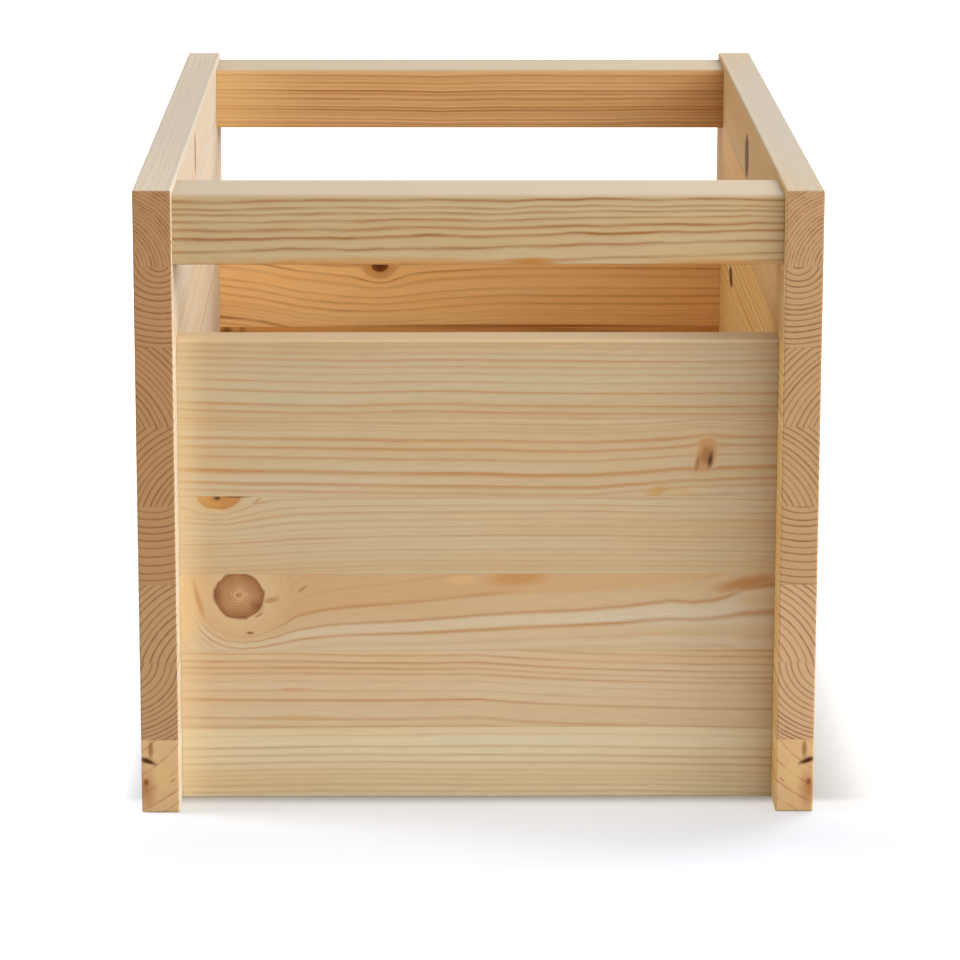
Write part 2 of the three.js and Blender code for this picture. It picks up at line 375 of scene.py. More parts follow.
    # hairline of glue where one stave meets the next
    low, high = look["seams"]
    middle = addNode(tree, "Math", {0: boardParts.outputs["Z"], 1: (low + high) / 2},
                     operation="SUBTRACT")
    outer = addNode(tree, "Math", {0: middle.outputs[0]}, operation="ABSOLUTE")
    glued = addNode(tree, "MapRange", {
        "Value": outer.outputs[0], "From Min": (high - low) / 2 - look["seamWidth"],
        "From Max": (high - low) / 2, "To Max": look["seamStrength"]})
    wood = addNode(tree, "Mix", {
        "Factor": glued.outputs[0], 6: wood.outputs[2], 7: linear(look["glue"])}, data_type="RGBA")

    smooth = addNode(tree, "MapRange", {
        "Value": line, "To Min": look["roughness"][1], "To Max": look["roughness"][0]})
    rough = addNode(tree, "Mix", {
        "Factor": isEnd.outputs[0], "A": smooth.outputs[0], "B": look["endRoughness"]})
    relief = addNode(tree, "Math", {0: fibre.outputs[0], 1: look["fibreRelief"], 2: line},
                     operation="MULTIPLY_ADD")
    bump = addNode(tree, "Bump", {
        "Height": relief.outputs[0], "Strength": look["reliefStrength"], "Distance": look["grainDepth"]})
    shader = addNode(tree, "BsdfPrincipled", {
        "Base Color": wood.outputs[2], "Roughness": rough.outputs[0], "Normal": bump.outputs[0],
        "IOR": look["ior"], "Specular IOR Level": look["specular"]})
    addNode(tree, "OutputMaterial", {"Surface": shader.outputs[0]})
    return material


# how the staves are cut and bored
joinery = {
    "arris": 0.001,          # eased edges that a hand touches, m
    "arrisSteps": 4,
    "buttEase": 0.0003,      # saw-crisp edge where a board butts against another
    "buttSteps": 2,
    "holePlay": 0.00015,     # room round a dowel
    "holeEndRoom": 0.001,    # room past a dowel's end
    "holeSides": 32,
    "sharpAbove": 40,        # degrees between faces that keeps an edge crisp
    "upright": 0.999,        # a normal that leans less is taken to lie along an axis
}
pastEdge = 50  # mm, puts the glue line of a board's outer edge where it can't show


def faceRole(face, low, high, butts):
    # seam: glued to the next stave; butt: glued against another board; show: left free
    for axis in range(3):
        if abs(face.normal[axis]) > joinery["upright"]:
            place = face.calc_center_median()[axis]
            if min(abs(place - low[axis]), abs(place - high[axis])) > snap:
                return "seam"
            underside = axis == 2 and 0 in butts and place < snap  # between two boards, left as sawn
            return "butt" if axis in butts or underside else "show"
    return "show"


def easeEdges(mesh, low, high, butts, roles, offset, steps):
    # rounds the edges between faces of the given roles
    edges = []
    for edge in mesh.edges:
        if len(edge.link_faces) == 2 and edge.calc_face_angle() > radians(joinery["sharpAbove"]):
            if sorted(faceRole(f, low, high, butts) for f in edge.link_faces) == roles:
                edges.append(edge)
    if edges:
        bmesh.ops.bevel(mesh, geom=edges, offset=offset, segments=steps, profile=0.5, affect="EDGES",
                        material=-1, clamp_overlap=True)


def dowelCutter(low, high):
    # one mesh with a cylinder for each dowel that reaches into this box, or None
    mesh = bmesh.new()
    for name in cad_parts:
        if "dowel" not in name:
            continue
        start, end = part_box(name)
        if all(start[i] < high[i] - snap and end[i] > low[i] + snap for i in range(3)):
            middle = (start + end) / 2
            length = end.x - start.x + 2 * joinery["holeEndRoom"]
            radius = (end.z - start.z) / 2 + joinery["holePlay"]
            turn = Matrix.Translation(middle) @ Matrix.Rotation(radians(90), 4, "Y")
            bmesh.ops.create_cone(mesh, cap_ends=True, segments=joinery["holeSides"], radius1=radius,
                                  radius2=radius, depth=length, matrix=turn)
    if not mesh.verts:
        mesh.free()
        return None
    cutter = bpy.data.objects.new("dowel cutter", bpy.data.meshes.new("dowel cutter"))
    bpy.context.scene.collection.objects.link(cutter)
    mesh.to_mesh(cutter.data)
    mesh.free()
    return cutter


def stavePiece(node, low, high, butts, material):
    # one stave of a board whose whole box is low..high
    start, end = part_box(node)
    mesh = bmesh.new()
    size = Matrix.Diagonal((*(end - start), 1))
    bmesh.ops.create_cube(mesh, size=1, matrix=Matrix.Translation((start + end) / 2) @ size)
    easeEdges(mesh, low, high, butts, ["show", "show"], joinery["arris"], joinery["arrisSteps"])
    easeEdges(mesh, low, high, butts, ["butt", "show"], joinery["buttEase"], joinery["buttSteps"])
    piece = bpy.data.objects.new(node + "_planed", bpy.data.meshes.new(node + "_planed"))
    bpy.context.scene.collection.objects.link(piece)
    mesh.to_mesh(piece.data)
    mesh.free()
    cutter = dowelCutter(start, end)
    if cutter:
        bore = piece.modifiers.new("dowel holes", "BOOLEAN")
        bore.operation = "DIFFERENCE"
        bore.solver = "EXACT"
        bore.object = cutter
        graph = bpy.context.evaluated_depsgraph_get()
        bored = bpy.data.meshes.new_from_object(piece.evaluated_get(graph))
        piece.modifiers.clear()
        piece.data = bored
        bpy.data.objects.remove(cutter)
    piece.data.shade_smooth()
    piece.data.set_sharp_from_angle(angle=radians(joinery["sharpAbove"]))
    flat = piece.modifiers.new("flat faces", "WEIGHTED_NORMAL")
    flat.keep_sharp = True
    piece.data.materials.clear()
    piece.data.materials.append(material)
    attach(piece, "root")
    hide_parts(node)


def glueUp(prefix, staves, common, butts):
    # makes every stave of one board
    nodes = [prefix + str(i + 1) for i in range(len(staves))] if len(staves) > 1 else [prefix]
    boxes = [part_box(n) for n in nodes]
    low = Vector([min(b[0][i] for b in boxes) for i in range(3)])
    high = Vector([max(b[1][i] for b in boxes) for i in range(3)])
    for node, stave, (start, end) in zip(nodes, staves, boxes):
        look = {**pine, **common, **stave}
        through, across = look["sectionAxes"]
        cross = [[corner[axis] * millimetres for corner in (start, end)] for axis in (through, across)]
        if look.get("mirrored"):
            cross[0] = sorted(abs(v) for v in cross[0])
        look["seams"] = (
            cross[1][0] - (pastEdge if abs(start[across] - low[across]) < snap else 0),
            cross[1][1] + (pastEdge if abs(end[across] - high[across]) < snap else 0))
        stavePiece(node, low, high, butts, planedPine(node, look, cross))
    print("glued up", prefix, len(nodes))


# looks that several boards share
paintedTopSheen = {"size": (400, 60, 3), "core": .45, "ragged": 0}  # painted sheen: a board's top face paler and greyer, standing for the white sheen it shows at a grazing angle
roundKnot = [(0, "#84562C"), (0.08, "#A5763F"), (0.3, "#C2966A"), (0.4, "#B1855A"), (0.6, "#AB7C50"),
             (0.82, "#9D6C40"), (0.93, "#8A5A32"), (1, "#7A4C26")]
smallKnot = [(0, "#A06C3E"), (0.45, "#AE7A4A"), (0.8, "#BE8E5E"), (1, "#B58552")]
amberKnot = [(0, "#6A3E16"), (0.1, "#96622A"), (0.22, "#C29A58"), (0.36, "#B27C3E"), (0.65, "#BF8C48"),
             (0.9, "#B48340"), (1, "#A87A44")]
darkKnot = [(0, "#5E2806"), (0.6, "#743A0C"), (1, "#9A5C20")]

# front board: grain runs left to right, and all figure is in mm
# face: where the seen face lies through the board; pith: its place through the board and its height
# knots and marks: middle and half sizes
# lines: height above the stave's lower edge, darkness, and the width where it isn't lineWidth
# drift: place along the grain, and how far lines rise there at the lower and at the upper edge
# the face's painted light and shade: two depths, and the colours that the wood turns to from the one to the
# other
# warmYears: a colour, then the lines past which the wood takes so much of it
panelFrame = {
    "scale": (millimetres,) * 3, "turn": (0, 0, 0), "start": (0, 0, 0), "grainAxis": (1, 0, 0),
    "sectionAxes": (1, 2), "lean": (0, 0), "spacing": (3.0, 3.4),
}
# painted light: the earlywood darkens from the bottom stave to the top one
frontStaves = [
    {"earlywood": "#D5C39E", "warmEarlywood": "#D2B07F",
     "pith": (-150, -70), "tone": 0.25, "faint": 0.6, "lineWidth": 1.0,
     "lines": [(3.0, .45), (6.2, .35), (9.2, .3), (11.3, .35), (13.7, .3), (17.3, .55), (21.1, .6),
               (25.4, .6), (31.3, .3)],
     "drift": [(-142, -1.0), (-118, -.6), (-85, 0), (0, .1), (54, 0), (83, -.4), (107, -.8), (142, -1.3)]},
    {"earlywood": "#CCB797", "warmEarlywood": "#C9A579",
     "pith": (-160, -50), "tone": 0.5,
     "lines": [(4.6, .5, 1.8), (13.6, .8), (18.2, .4), (22.8, .35), (26.6, .75), (29.4, .75), (32.4, .85)],
     "drift": [(-142, .8), (-118, .4), (-85, .1, .3), (-60, -.2), (-32, -.2), (0, .3), (26, -1.6), (54, -3),
               (83, -3.8), (107, -4.6), (142, -4.8)],
     "marks": [{"at": (-86, -215, 39.8), "size": (25, 9, 1.5), "colour": "#C09656", "strength": .55},
               {"at": (-88, -215, 53.9), "size": (10, 9, 1.0), "colour": "#C8855A", "strength": .6}]},
    {"earlywood": "#C9B698", "warmEarlywood": "#C6A57A",
     "pith": (-150, -200), "tone": 0.3, "faint": 0.6, "lineWidth": 1.1, "spacing": (9, 9),
     "lines": [(.8, .6, 1.4), (5.3, .7, 1.5), (10.9, .95, 2.2), (18.3, 1, 2.4), (28.6, 1, 2.2),
               (40, .25, 1.6), (52, .45, 1.6), (58, .25, 1.6), (66, .4, 1.6), (73, .3, 1.6), (80, .4, 1.8),
               (87, .3, 1.6)],
     "drift": [(-142, 16, 38), (-137, 11, 30), (-132, 6, 20), (-126, 2, 8), (-119, -.5, 0), (-110, -1.5, -7),
               (-98, -1.5, -12), (-82, -1, -12), (-65, -.5, -10), (-30, -.8, -4.8), (0, 0, 0), (30, 1.2, 3),
               (48, 2, 3.6), (68, 2.2, 6), (80, 3, 7.5), (92, 2.8, 9.5), (103, 2.6, 8.5), (112, 2.4, 9.7),
               (120, 1.8, 12.4), (127, -.2, 16.4), (142, -.4, 18)],
     "knots": [{"at": (-113.7, 100.4), "size": (12.4, 12), "wood": roundKnot, "spread": 1.3, "rise": 60,
                "fall": 4, "push": 0, "years": 10, "ragged": .3, "halo": "#D2B488", "haloReach": 2.1}],
     "warmYears": ("#C19B6D", (18.3, .65), (28.6, 1)),
     "marks": [{"at": (70, -215, 107.3), "size": (64, 9, 4.4), "colour": "#C19B6D", "strength": 1, "core": .6,
                "ragged": .15, "tilt": (0, -5.5, 0)},
               {"at": (-141, -215, 96), "size": (12, 9, 25), "colour": "#CFAA76", "strength": .75,
                "core": .4},
               {"at": (19, -215, 109), "size": (19, 9, 5.4), "colour": "#B67C3E", "tilt": (0, -4, 0),
                "strength": .75, "core": .2},
               {"at": (-8, -215, 108), "size": (10, 9, 3), "colour": "#D2A76C", "strength": .5},
               {"at": (128, -215, 106.4), "size": (20, 9, 4.4), "colour": "#AC743A", "tilt": (0, -11, 0),
                "strength": .85, "core": .2},
               {"at": (136, -215, 98), "size": (14, 9, 6), "colour": "#C09A64", "strength": .5},
               {"at": (-133.4, -215, 99.2), "size": (2, 9, 14), "colour": "#AF722A", "tilt": (0, -14, 0),
                "strength": .8, "core": .1},
               {"at": (-140, -215, 104), "size": (4, 9, 9), "colour": "#CFA264", "strength": .5},
               {"at": (-124.2, -215, 101.5), "size": (3, 9, 7), "colour": "#6F4220", "strength": .5,
                "core": 0},
               {"at": (-105.4, -215, 95), "size": (5, 9, 3.6), "colour": "#6F4220", "strength": .55,
                "core": 0, "tilt": (0, 40, 0)},
               {"at": (-108.6, -215, 81.9), "size": (2.4, 9, .8), "colour": "#7B4822", "strength": .9},
               {"at": (-83.5, -215, 103.6), "size": (3.2, 9, .9), "colour": "#8F5C34", "tilt": (0, -40, 0)},
               {"at": (-104.5, -215, 90.6), "size": (3, 9, .9), "colour": "#8F5C34", "tilt": (0, -30, 0)},
               {"at": (-98.6, -215, 98), "size": (5, 9, 2), "colour": "#A87646", "tilt": (0, -8, 0)}]},
    {"earlywood": "#C0AA86", "warmEarlywood": "#BE996B",
     "pith": (-155, 40), "tone": 0.35, "faint": 0.5, "lineWidth": 0.9,
     "lines": [(2.5, .3), (4.5, .4), (6.8, .4), (9.7, .35), (12.4, .5), (15.0, .25), (16.7, .5), (19.3, .8),
               (21.3, .35), (23.8, .4), (27.2, .45), (30.8, .6), (34.0, .55)],
     "drift": [(-142, -2.4), (-118, -1.6), (-89, -.6), (-60, -.2), (0, 0), (54, -.1), (82, -.6), (142, -1.1)],
     "knots": [{"at": (-123, 149.4), "size": (11, 6.8), "wood": amberKnot, "spread": 1.15, "ragged": .35,
                "halo": "#CDA670", "haloReach": 1.4}],
     "marks": [{"at": (-117.6, -215, 146), "size": (7, 9, 3.6), "colour": "#A8663A", "strength": .4,
                "tilt": (0, -25, 0)},
               {"at": (-123.6, -215, 148.3), "size": (2.2, 9, 1.5), "colour": "#4A2A10", "strength": .9},
               {"at": (-115, -215, 149), "size": (9, 9, 1), "colour": "#5E3416", "strength": .85},
               {"at": (-104.6, -215, 147), "size": (2.8, 9, .6), "colour": "#A06C34", "tilt": (0, -42, 0)}]},
    {"earlywood": "#BFAD8D", "warmEarlywood": "#BD9D71",
     "pith": (-150, 70), "tone": 0.5, "faint": 0.7, "lineWidth": 1.2,
     "lines": [(6.0, .75, 1.4), (12.3, .9, 2.0), (18.9, .6), (23.8, .85), (28.3, .85, 1.5), (32.8, .3),
               (34.6, .4), (36.6, .5)],
     "drift": [(-142, 1.8, .3), (-117, 1.2, .2), (-89, .8, .2), (-60, 0), (-32, -.5), (0, -.6),
               (25, -1, -1.4), (53, -1, -1.6), (80, 1.2, -1), (104, 3.4, .6), (124, 3.5, 0), (142, 3.9, -.3)],
     "knots": [{"at": (108.6, 169.6), "size": (4.6, 8.6), "wood": smallKnot, "spread": 1.05, "push": .12,
                "tilt": 8, "ragged": .6, "strength": .85, "halo": "#C29A68", "haloReach": 1.6}],
     "marks": [{"at": (84.6, -215, 150.6), "size": (7, 9, 3.6), "colour": "#BC8C44", "tilt": (0, -22, 0)},
               {"at": (96, -215, 151), "size": (9, 9, 2.6), "colour": "#C49C64", "strength": .5},
               {"at": (108.1, -215, 168.2), "size": (4.2, 9, 7.5), "colour": "#8E5B2A", "tilt": (0, 8, 0),
                "strength": .6, "core": .1},
               {"at": (110.3, -215, 166.8), "size": (1.8, 9, 6.4), "colour": "#3A1E08", "tilt": (0, 10, 0),
                "strength": .95, "core": .1},
               {"at": (108.7, -215, 175.4), "size": (5, 9, 2.2), "colour": "#BC8450"},
               {"at": (104.2, -215, 165), "size": (1.4, 9, 5.2), "colour": "#8A5528", "tilt": (0, 10, 0)}]},
    {"earlywood": "#BCA987", "warmEarlywood": "#BA986C",
     "pith": (-150, 100), "tone": 0.4, "faint": 0.6,
     "lines": [(6.5, .85, 1.2), (12.8, .85), (17.6, .7), (21.6, .5), (24.9, .5), (28.1, .8), (31.2, .45),
               (34.4, .4), (36.6, .5)],
     "drift": [(-142, 1.8), (-117, 1.2), (-88, .4), (-60, 0), (-32, .4), (0, .3), (25, .1), (53, -.1),
               (81, -.4), (124, -.5), (142, -.2)],
     # painted light along the panel's top edge
     "marks": [{**paintedTopSheen, "at": (0, -206, 226), "colour": "#DABF94", "strength": .85}]},
]
leftEndPaintedLight = {"at": (-146, -215, 111), "size": (19, 9, 400), "colour": "#EBD3A4", "strength": .45, "core": 0,
            "ragged": 0}  # painted light: the glow that the side board's lit inner face throws on the panel's left end
for stave in frontStaves:
    stave["marks"] = stave.get("marks", []) + [leftEndPaintedLight]
glueUp("front_panel_stave_", frontStaves, {**panelFrame, "face": -215}, (0,))

# back board: the same, seen from inside. Its inner face is painted bright warm orange, standing for the light
# that bounces inside the box
backStaves = [
    {"pith": (150, -60), "spacing": (3.2, 4)},
    {"pith": (240, 30), "lean": (0.8, 0.3), "spacing": (2.6, 3)},
    {"pith": (176, 60), "lean": (0.6, 0), "spacing": (3, 3.4),
     "knots": [{"at": (64, 96), "size": (8, 7), "wood": roundKnot}]},
    {"pith": (262, 125), "lean": (-0.9, 0.2), "spacing": (2.8, 3.2),
     "paintedFaceLight": (206, 198, "#DC9E58", "#D48E44"),
     "marks": [{"at": (-138, 197, 147), "size": (3.6, 5, 3.6), "colour": "#7E4A1C", "strength": .85},
               {"at": (-129.5, 197, 147), "size": (2.6, 5, 3.4), "colour": "#96602C"}]},
    {"pith": (260, 90), "tone": 0.7, "lineWidth": 1.0, "latewood": "#B4702E",
     "lines": [(0.6, 1, 1.5), (2.9, .35), (5.0, .3), (7.2, .35), (8.6, .25), (10.0, .4), (14.1, .7),
               (18.6, .6), (22.8, .5), (29.7, .35, 1.8)],
     "marks": [{"at": (25, 197, 149.6), "size": (130, 5, 1.3), "colour": "#A4561A", "strength": .8,
                "ragged": .2}],
     "drift": [(-142, 6), (-119, 3), (-96, -1.5), (-74, -3.2), (-40, -2.6), (-17, -1.4), (17, -.2), (51, 0),
               (142, 0)],
     "knots": [{"at": (-51, 184.5), "size": (5, 4), "wood": darkKnot, "spread": 1.8, "halo": "#CC8C48",
                "haloReach": 2.2}]},
    {"pith": (258, 240), "lean": (0.7, -0.2), "spacing": (2.4, 2.9)},
]
glueUp("back_panel_stave_", backStaves,
       {**panelFrame, "face": 197, "earlywood": "#CFBB97", "warmEarlywood": "#CCA878",
        "paintedFaceLight": (206, 198, "#FDD497", "#FCC57C")}, (0,))

# grab rails
frontRail = {
    "face": -234, "pith": (-160, 190), "tone": 0.35, "faint": 0.5, "lineWidth": 1.15, "wander": 1.3,
    "wanderLength": (34, 14), "latewood": "#8A4E04", "fadeLength": (30, 4),
    # the rail's front face is painted a little darker and warmer than its top
    "paintedFaceLight": (-230, -233.4, "#BAA37D", "#B79564"),
    "lines": [(1.7, .6), (8.6, .85), (13.8, 1), (17.7, .95), (21.6, .75), (24.8, .75), (27.4, .65), (31, 1)],
    "drift": [(-142, -2, -.8), (-115, -1.4, -.8), (-87, -.6, -.4), (-60, -1.2, .2), (-32, -.4, 0), (0, 0),
              (52, 2.3, .3), (80, 3, .2), (103, 4, -.2), (142, 6, -.9)],
    "marks": [{"at": (-50, -234, 264.5), "size": (110, 9, 4), "colour": "#B9803E", "strength": .75},
              {"at": (25, -234, 265.6), "size": (17, 9, 2.6), "colour": "#AA6A1A", "strength": .85,
               "core": .1},
              {"at": (110, -234, 264.5), "size": (46, 9, 3), "colour": "#B07A38", "strength": .7},
              {**paintedTopSheen, "at": (0, -212, 298), "colour": "#C2AF95", "strength": .85}],
}
rearRail = {
    "face": 191, "pith": (280, 180), "tone": 0.75, "faint": 0.8, "lineWidth": 0.9,
    "latewood": "#8C4606",
    "lines": [(1.2, .5), (2.6, .6), (4.0, .7), (5.7, .8), (7.5, .6), (8.7, .4), (10.4, .9), (12.1, .7),
              (14.2, .4), (16.6, .8), (19.2, .6), (21.2, 1), (23.2, .4), (25.4, .5), (27.6, .4), (29.3, .6)],
    "drift": [(-142, .8), (-117, .6), (-84, .4), (-50, .2), (-17, -.5), (16, .2), (50, 0), (84, 0),
              (142, .3)],
    # painted light at the left end, bounced from the left side board, and painted shade at the right end,
    # where the right side board stands over it
    "marks": [{"at": (-146, 191, 280), "size": (60, 8, 60), "colour": "#FCD690", "strength": .32, "core": 0,
               "ragged": 0},
              {"at": (146, 191, 280), "size": (50, 8, 60), "colour": "#C67C34", "strength": .2, "core": 0,
               "ragged": 0},
              {**paintedTopSheen, "at": (0, 212, 298), "colour": "#C1AF93", "strength": .85}],
}
glueUp("front_top_rail", [frontRail], {**panelFrame, "earlywood": "#BCAB8E", "warmEarlywood": "#BBA37E"},
       (0,))
# the rear rail's front face is painted warm orange, standing for the light that bounces inside the box
glueUp("rear_top_rail", [rearRail],
       {**panelFrame, "earlywood": "#C2AF91", "warmEarlywood": "#C0A47C",
        "paintedFaceLight": (195, 191.6, "#DDB785", "#D8A86C")}, (0,))

# side boards: grain runs front to back, and places through the board are from the box's middle
sideFrame = {
    "turn": (0, 0, radians(-90)), "start": (240, 0, 0), "grainAxis": (0, 1, 0), "sectionAxes": (0, 2),
    "mirrored": True, "faint": 0.7, "wander": 0.9, "noiseSeed": [3.1, 7.7, 1.9], "lineWidth": 0.85,
    "specular": 0.08, "roughness": (0.6, 0.7),
}
sidePiths = [
    {"pith": (188, 70), "spacing": (9, 5), "endEarlywood": "#CFA878", "endLatewood": "#A37342", "faint": .2,
     "marks": [{"at": (0, 150, 18.5), "size": (12, 4.5, 6.5), "colour": "#CFAE72", "strength": .7},
               {"at": (0, 158, 12), "size": (14, 6, 13), "colour": "#9C5E30", "strength": .75, "core": 0},
               {"at": (0, 155.4, 31.5), "size": (30, 1.7, 5.5), "colour": "#8A5A32", "strength": .75},
               {"at": (0, 158, 26), "size": (30, 4.6, 2.4), "colour": "#6E3C18", "strength": .8, "core": 0},
               {"at": (0, 156.4, 25.4), "size": (30, 5.2, 1.5), "colour": "#431D06", "strength": .95,
                "tilt": (22, 0, 0)},
               {"at": (0, 145.2, 15.9), "size": (20, 2.2, .5), "colour": "#8A5F36", "tilt": (-40, 0, 0)},
               {"at": (0, 157.8, 15.2), "size": (20, 1.6, 2.4), "colour": "#7A4420", "strength": .8}]},
    {"pith": (168, 76), "spacing": (3.8, 1.5)},
    {"pith": (118, 62), "spacing": (3.5, 2.7)},
    {"pith": (153, 167), "spacing": (2.8, 4.2)},
    {"pith": (118, 136), "spacing": (2.7, 2.7)},
    {"pith": (197, 168), "spacing": (2.6, 2.6)},
    {"pith": (148, 268), "spacing": (2.7, 2.7)},
    {"pith": (173, 262), "spacing": (2.0, 1.3), "lineWidth": 0.7, "faint": 0.3},
]
leftLean = [(.4, .2), (-.5, .3), (.6, -.2), (.3, .5), (-.6, .3), (.5, .2), (.4, -.4), (-.3, .2)]
rightLean = [(-.4, .3), (.5, -.2), (-.3, .4), (-.5, -.3), (.4, .2), (-.6, .3), (-.3, .4), (.5, -.2)]
leftMarks = {
    8: [{**paintedTopSheen, "at": (240, 151, 301.5), "colour": "#C4B8A9", "strength": .75},
        {"at": (208, 142, 285), "size": (6.5, 5, 12), "colour": "#935F3B", "strength": .9, "core": .7},
        {"at": (180, 142, 275), "size": (5, 4, 5), "colour": "#C89666"}],
}
rightMarks = {
    8: [{**paintedTopSheen, "at": (240, 151, 301.5), "colour": "#BEB7AB", "strength": .75},
        {"at": (248, 142, 277), "size": (15, 5, 12), "colour": "#653B26", "strength": .9, "core": .75,
         "tilt": (0, 12, 0)}],
    6: [{"at": (350, 142, 194), "size": (14, 5, 6.5), "colour": "#55300F", "strength": .9, "core": .7}],
}
leftKnots = {
    2: [{"at": (332, 54), "size": (9, 8), "wood": roundKnot, "years": 7, "halo": "#C49A68",
         "haloReach": 1.3}],
    4: [{"at": (128, 133), "size": (7, 6), "wood": smallKnot, "ragged": .5, "halo": "#C29A68"}],
}
rightKnots = {
    3: [{"at": (196, 96), "size": (10, 9), "wood": roundKnot, "years": 8, "halo": "#C49A68",
         "haloReach": 1.3}],
    5: [{"at": (120, 170), "size": (6, 7), "wood": smallKnot, "ragged": .5, "halo": "#C29A68"}],
}
# the two side boards' colours are painted light and shade: the left board is paler, its inner face as if in
# full light, and the right board darker, its inner face warm orange, standing for warm light bounced into its
# shade
leftLitWood = {"latewood": "#C49860", "earlywood": "#E0D8C6", "warmEarlywood": "#DCC5A0"}
leftLitLowWood = {**leftLitWood, "endEarlywood": "#B58E64"}
leftLitUpperWood = {**leftLitWood, "latewood": "#CDAC7E", "paintedFaceLight": (147, 142.6, "#D6CEBE", "#D4BFA2")}
leftLitTopWood = {"latewood": "#CDAC7E", "earlywood": "#DCD2BE", "warmEarlywood": "#D8C3A2",
               "paintedFaceLight": (147, 142.6, "#CBC3B7", "#CCBEA8")}
rightShadedWood = {"latewood": "#D09658", "earlywood": "#C5B499", "warmEarlywood": "#C2A47B",
             "paintedFaceLight": (147, 142.6, "#FAD997", "#F7C378")}
rightShadedLowWood = {**rightShadedWood, "endEarlywood": "#C69F77"}
rightShadedUpperWood = {**rightShadedWood, "latewood": "#CFA26A", "paintedFaceLight": (147, 142.6, "#F0C990", "#E9B97C")}
rightShadedTopWood = {**rightShadedWood, "latewood": "#CFA26A", "paintedFaceLight": (147, 142.6, "#DDBD8C", "#D9B278")}
# from the bottom stave to the top one
leftLitWoods = [leftLitWood] + [leftLitLowWood] * 2 + [leftLitWood] * 3 + [leftLitUpperWood, leftLitTopWood]
rightShadedWoods = [rightShadedWood] + [rightShadedLowWood] * 2 + [rightShadedWood] * 3 + [rightShadedUpperWood, rightShadedTopWood]


def sideLooks(woodsWithLight, leans, knots, marks):
    # a side's eight staves: both sides share their piths
    looks = []
    for i, stave in enumerate(sidePiths):
        spots = stave.get("marks", []) + marks.get(i + 1, [])
        looks.append({**stave, **woodsWithLight[i], "lean": leans[i], "knots": knots.get(i + 1, []), "marks": spots})
    return looks


leftStaves = sideLooks(leftLitWoods, leftLean, leftKnots, leftMarks)
rightStaves = sideLooks(rightShadedWoods, rightLean, rightKnots, rightMarks)
glueUp("left_side_stave_", leftStaves,
       {**sideFrame, "scale": (millimetres,) * 3, "endEarlywood": "#AF8559", "endLatewood": "#774D34"},
       ())
glueUp("right_side_stave_", rightStaves,
       {**sideFrame, "scale": (-millimetres, millimetres, millimetres), "endEarlywood": "#B99268",
        "endLatewood": "#774D34"}, ())

# bottom board: grain runs front to back
bottomFrame = {
    "scale": (millimetres,) * 3, "turn": (radians(-90), radians(-90), 0), "start": (0, 0, 0),
    "grainAxis": (0, 1, 0), "sectionAxes": (2, 0), "spacing": (2.6, 3.2),
}
bottom = {
    "staves": 8, "staveWidth": 38, "leftMiddle": -133,  # mm
    "pithHeights": (-30, 62, -18, 80), "pithAside": 30, "tones": (0.2, 0.6), "leans": (1, 0.4), "seed": 11,
}
bottomStaves = []
rng = random.Random(bottom["seed"])
for i in range(bottom["staves"]):
    middle = bottom["leftMiddle"] + bottom["staveWidth"] * i
    aside = bottom["pithAside"]
    pith = (rng.choice(bottom["pithHeights"]), middle + rng.uniform(-aside, aside))
    tone = rng.uniform(*bottom["tones"])
    lean = tuple(rng.uniform(-most, most) for most in bottom["leans"])
    bottomStaves.append({"pith": pith, "tone": tone, "lean": lean})
glueUp("bottom_board_stave_", bottomStaves, bottomFrame, (0, 1))

# dowels
beech = {
    "pale": "#D9B88E", "dark": "#B98C5E", "fleckShare": (0.35, 0.7), "roughness": 0.6,
    "fleckLength": (3, 0.35),  # along and across the grain, mm
    "fleckDepth": 0.0001,      # m
    "reliefStrength": 0.3,
}


def flutedBeech():
    # beech, turned and fluted: pinkish brown and plain, with short darker flecks along the grain
    material = bpy.data.materials.new("fluted beech")
    material.use_nodes = True
    tree = material.node_tree
    tree.nodes.clear()
    place = addNode(tree, "TexCoord")
    fleck = stretchedNoise(tree, place.outputs["Object"], [v / millimetres for v in beech["fleckLength"]])
    shade = addNode(tree, "ValToRGB", {"Fac": fleck.outputs[0]},
                    stops=list(zip(beech["fleckShare"], (beech["pale"], beech["dark"]))))
    bump = addNode(tree, "Bump", {
        "Height": fleck.outputs[0], "Strength": beech["reliefStrength"], "Distance": beech["fleckDepth"]})
    shader = addNode(tree, "BsdfPrincipled", {
        "Base Color": shade.outputs[0], "Roughness": beech["roughness"], "Normal": bump.outputs[0]})
    addNode(tree, "OutputMaterial", {"Surface": shader.outputs[0]})
    return material


dowelWood = flutedBeech()
for name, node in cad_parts.items():
    if "dowel" in name:
        for slot in node.material_slots:
            slot.material = dowelWood
print("dowels ready")

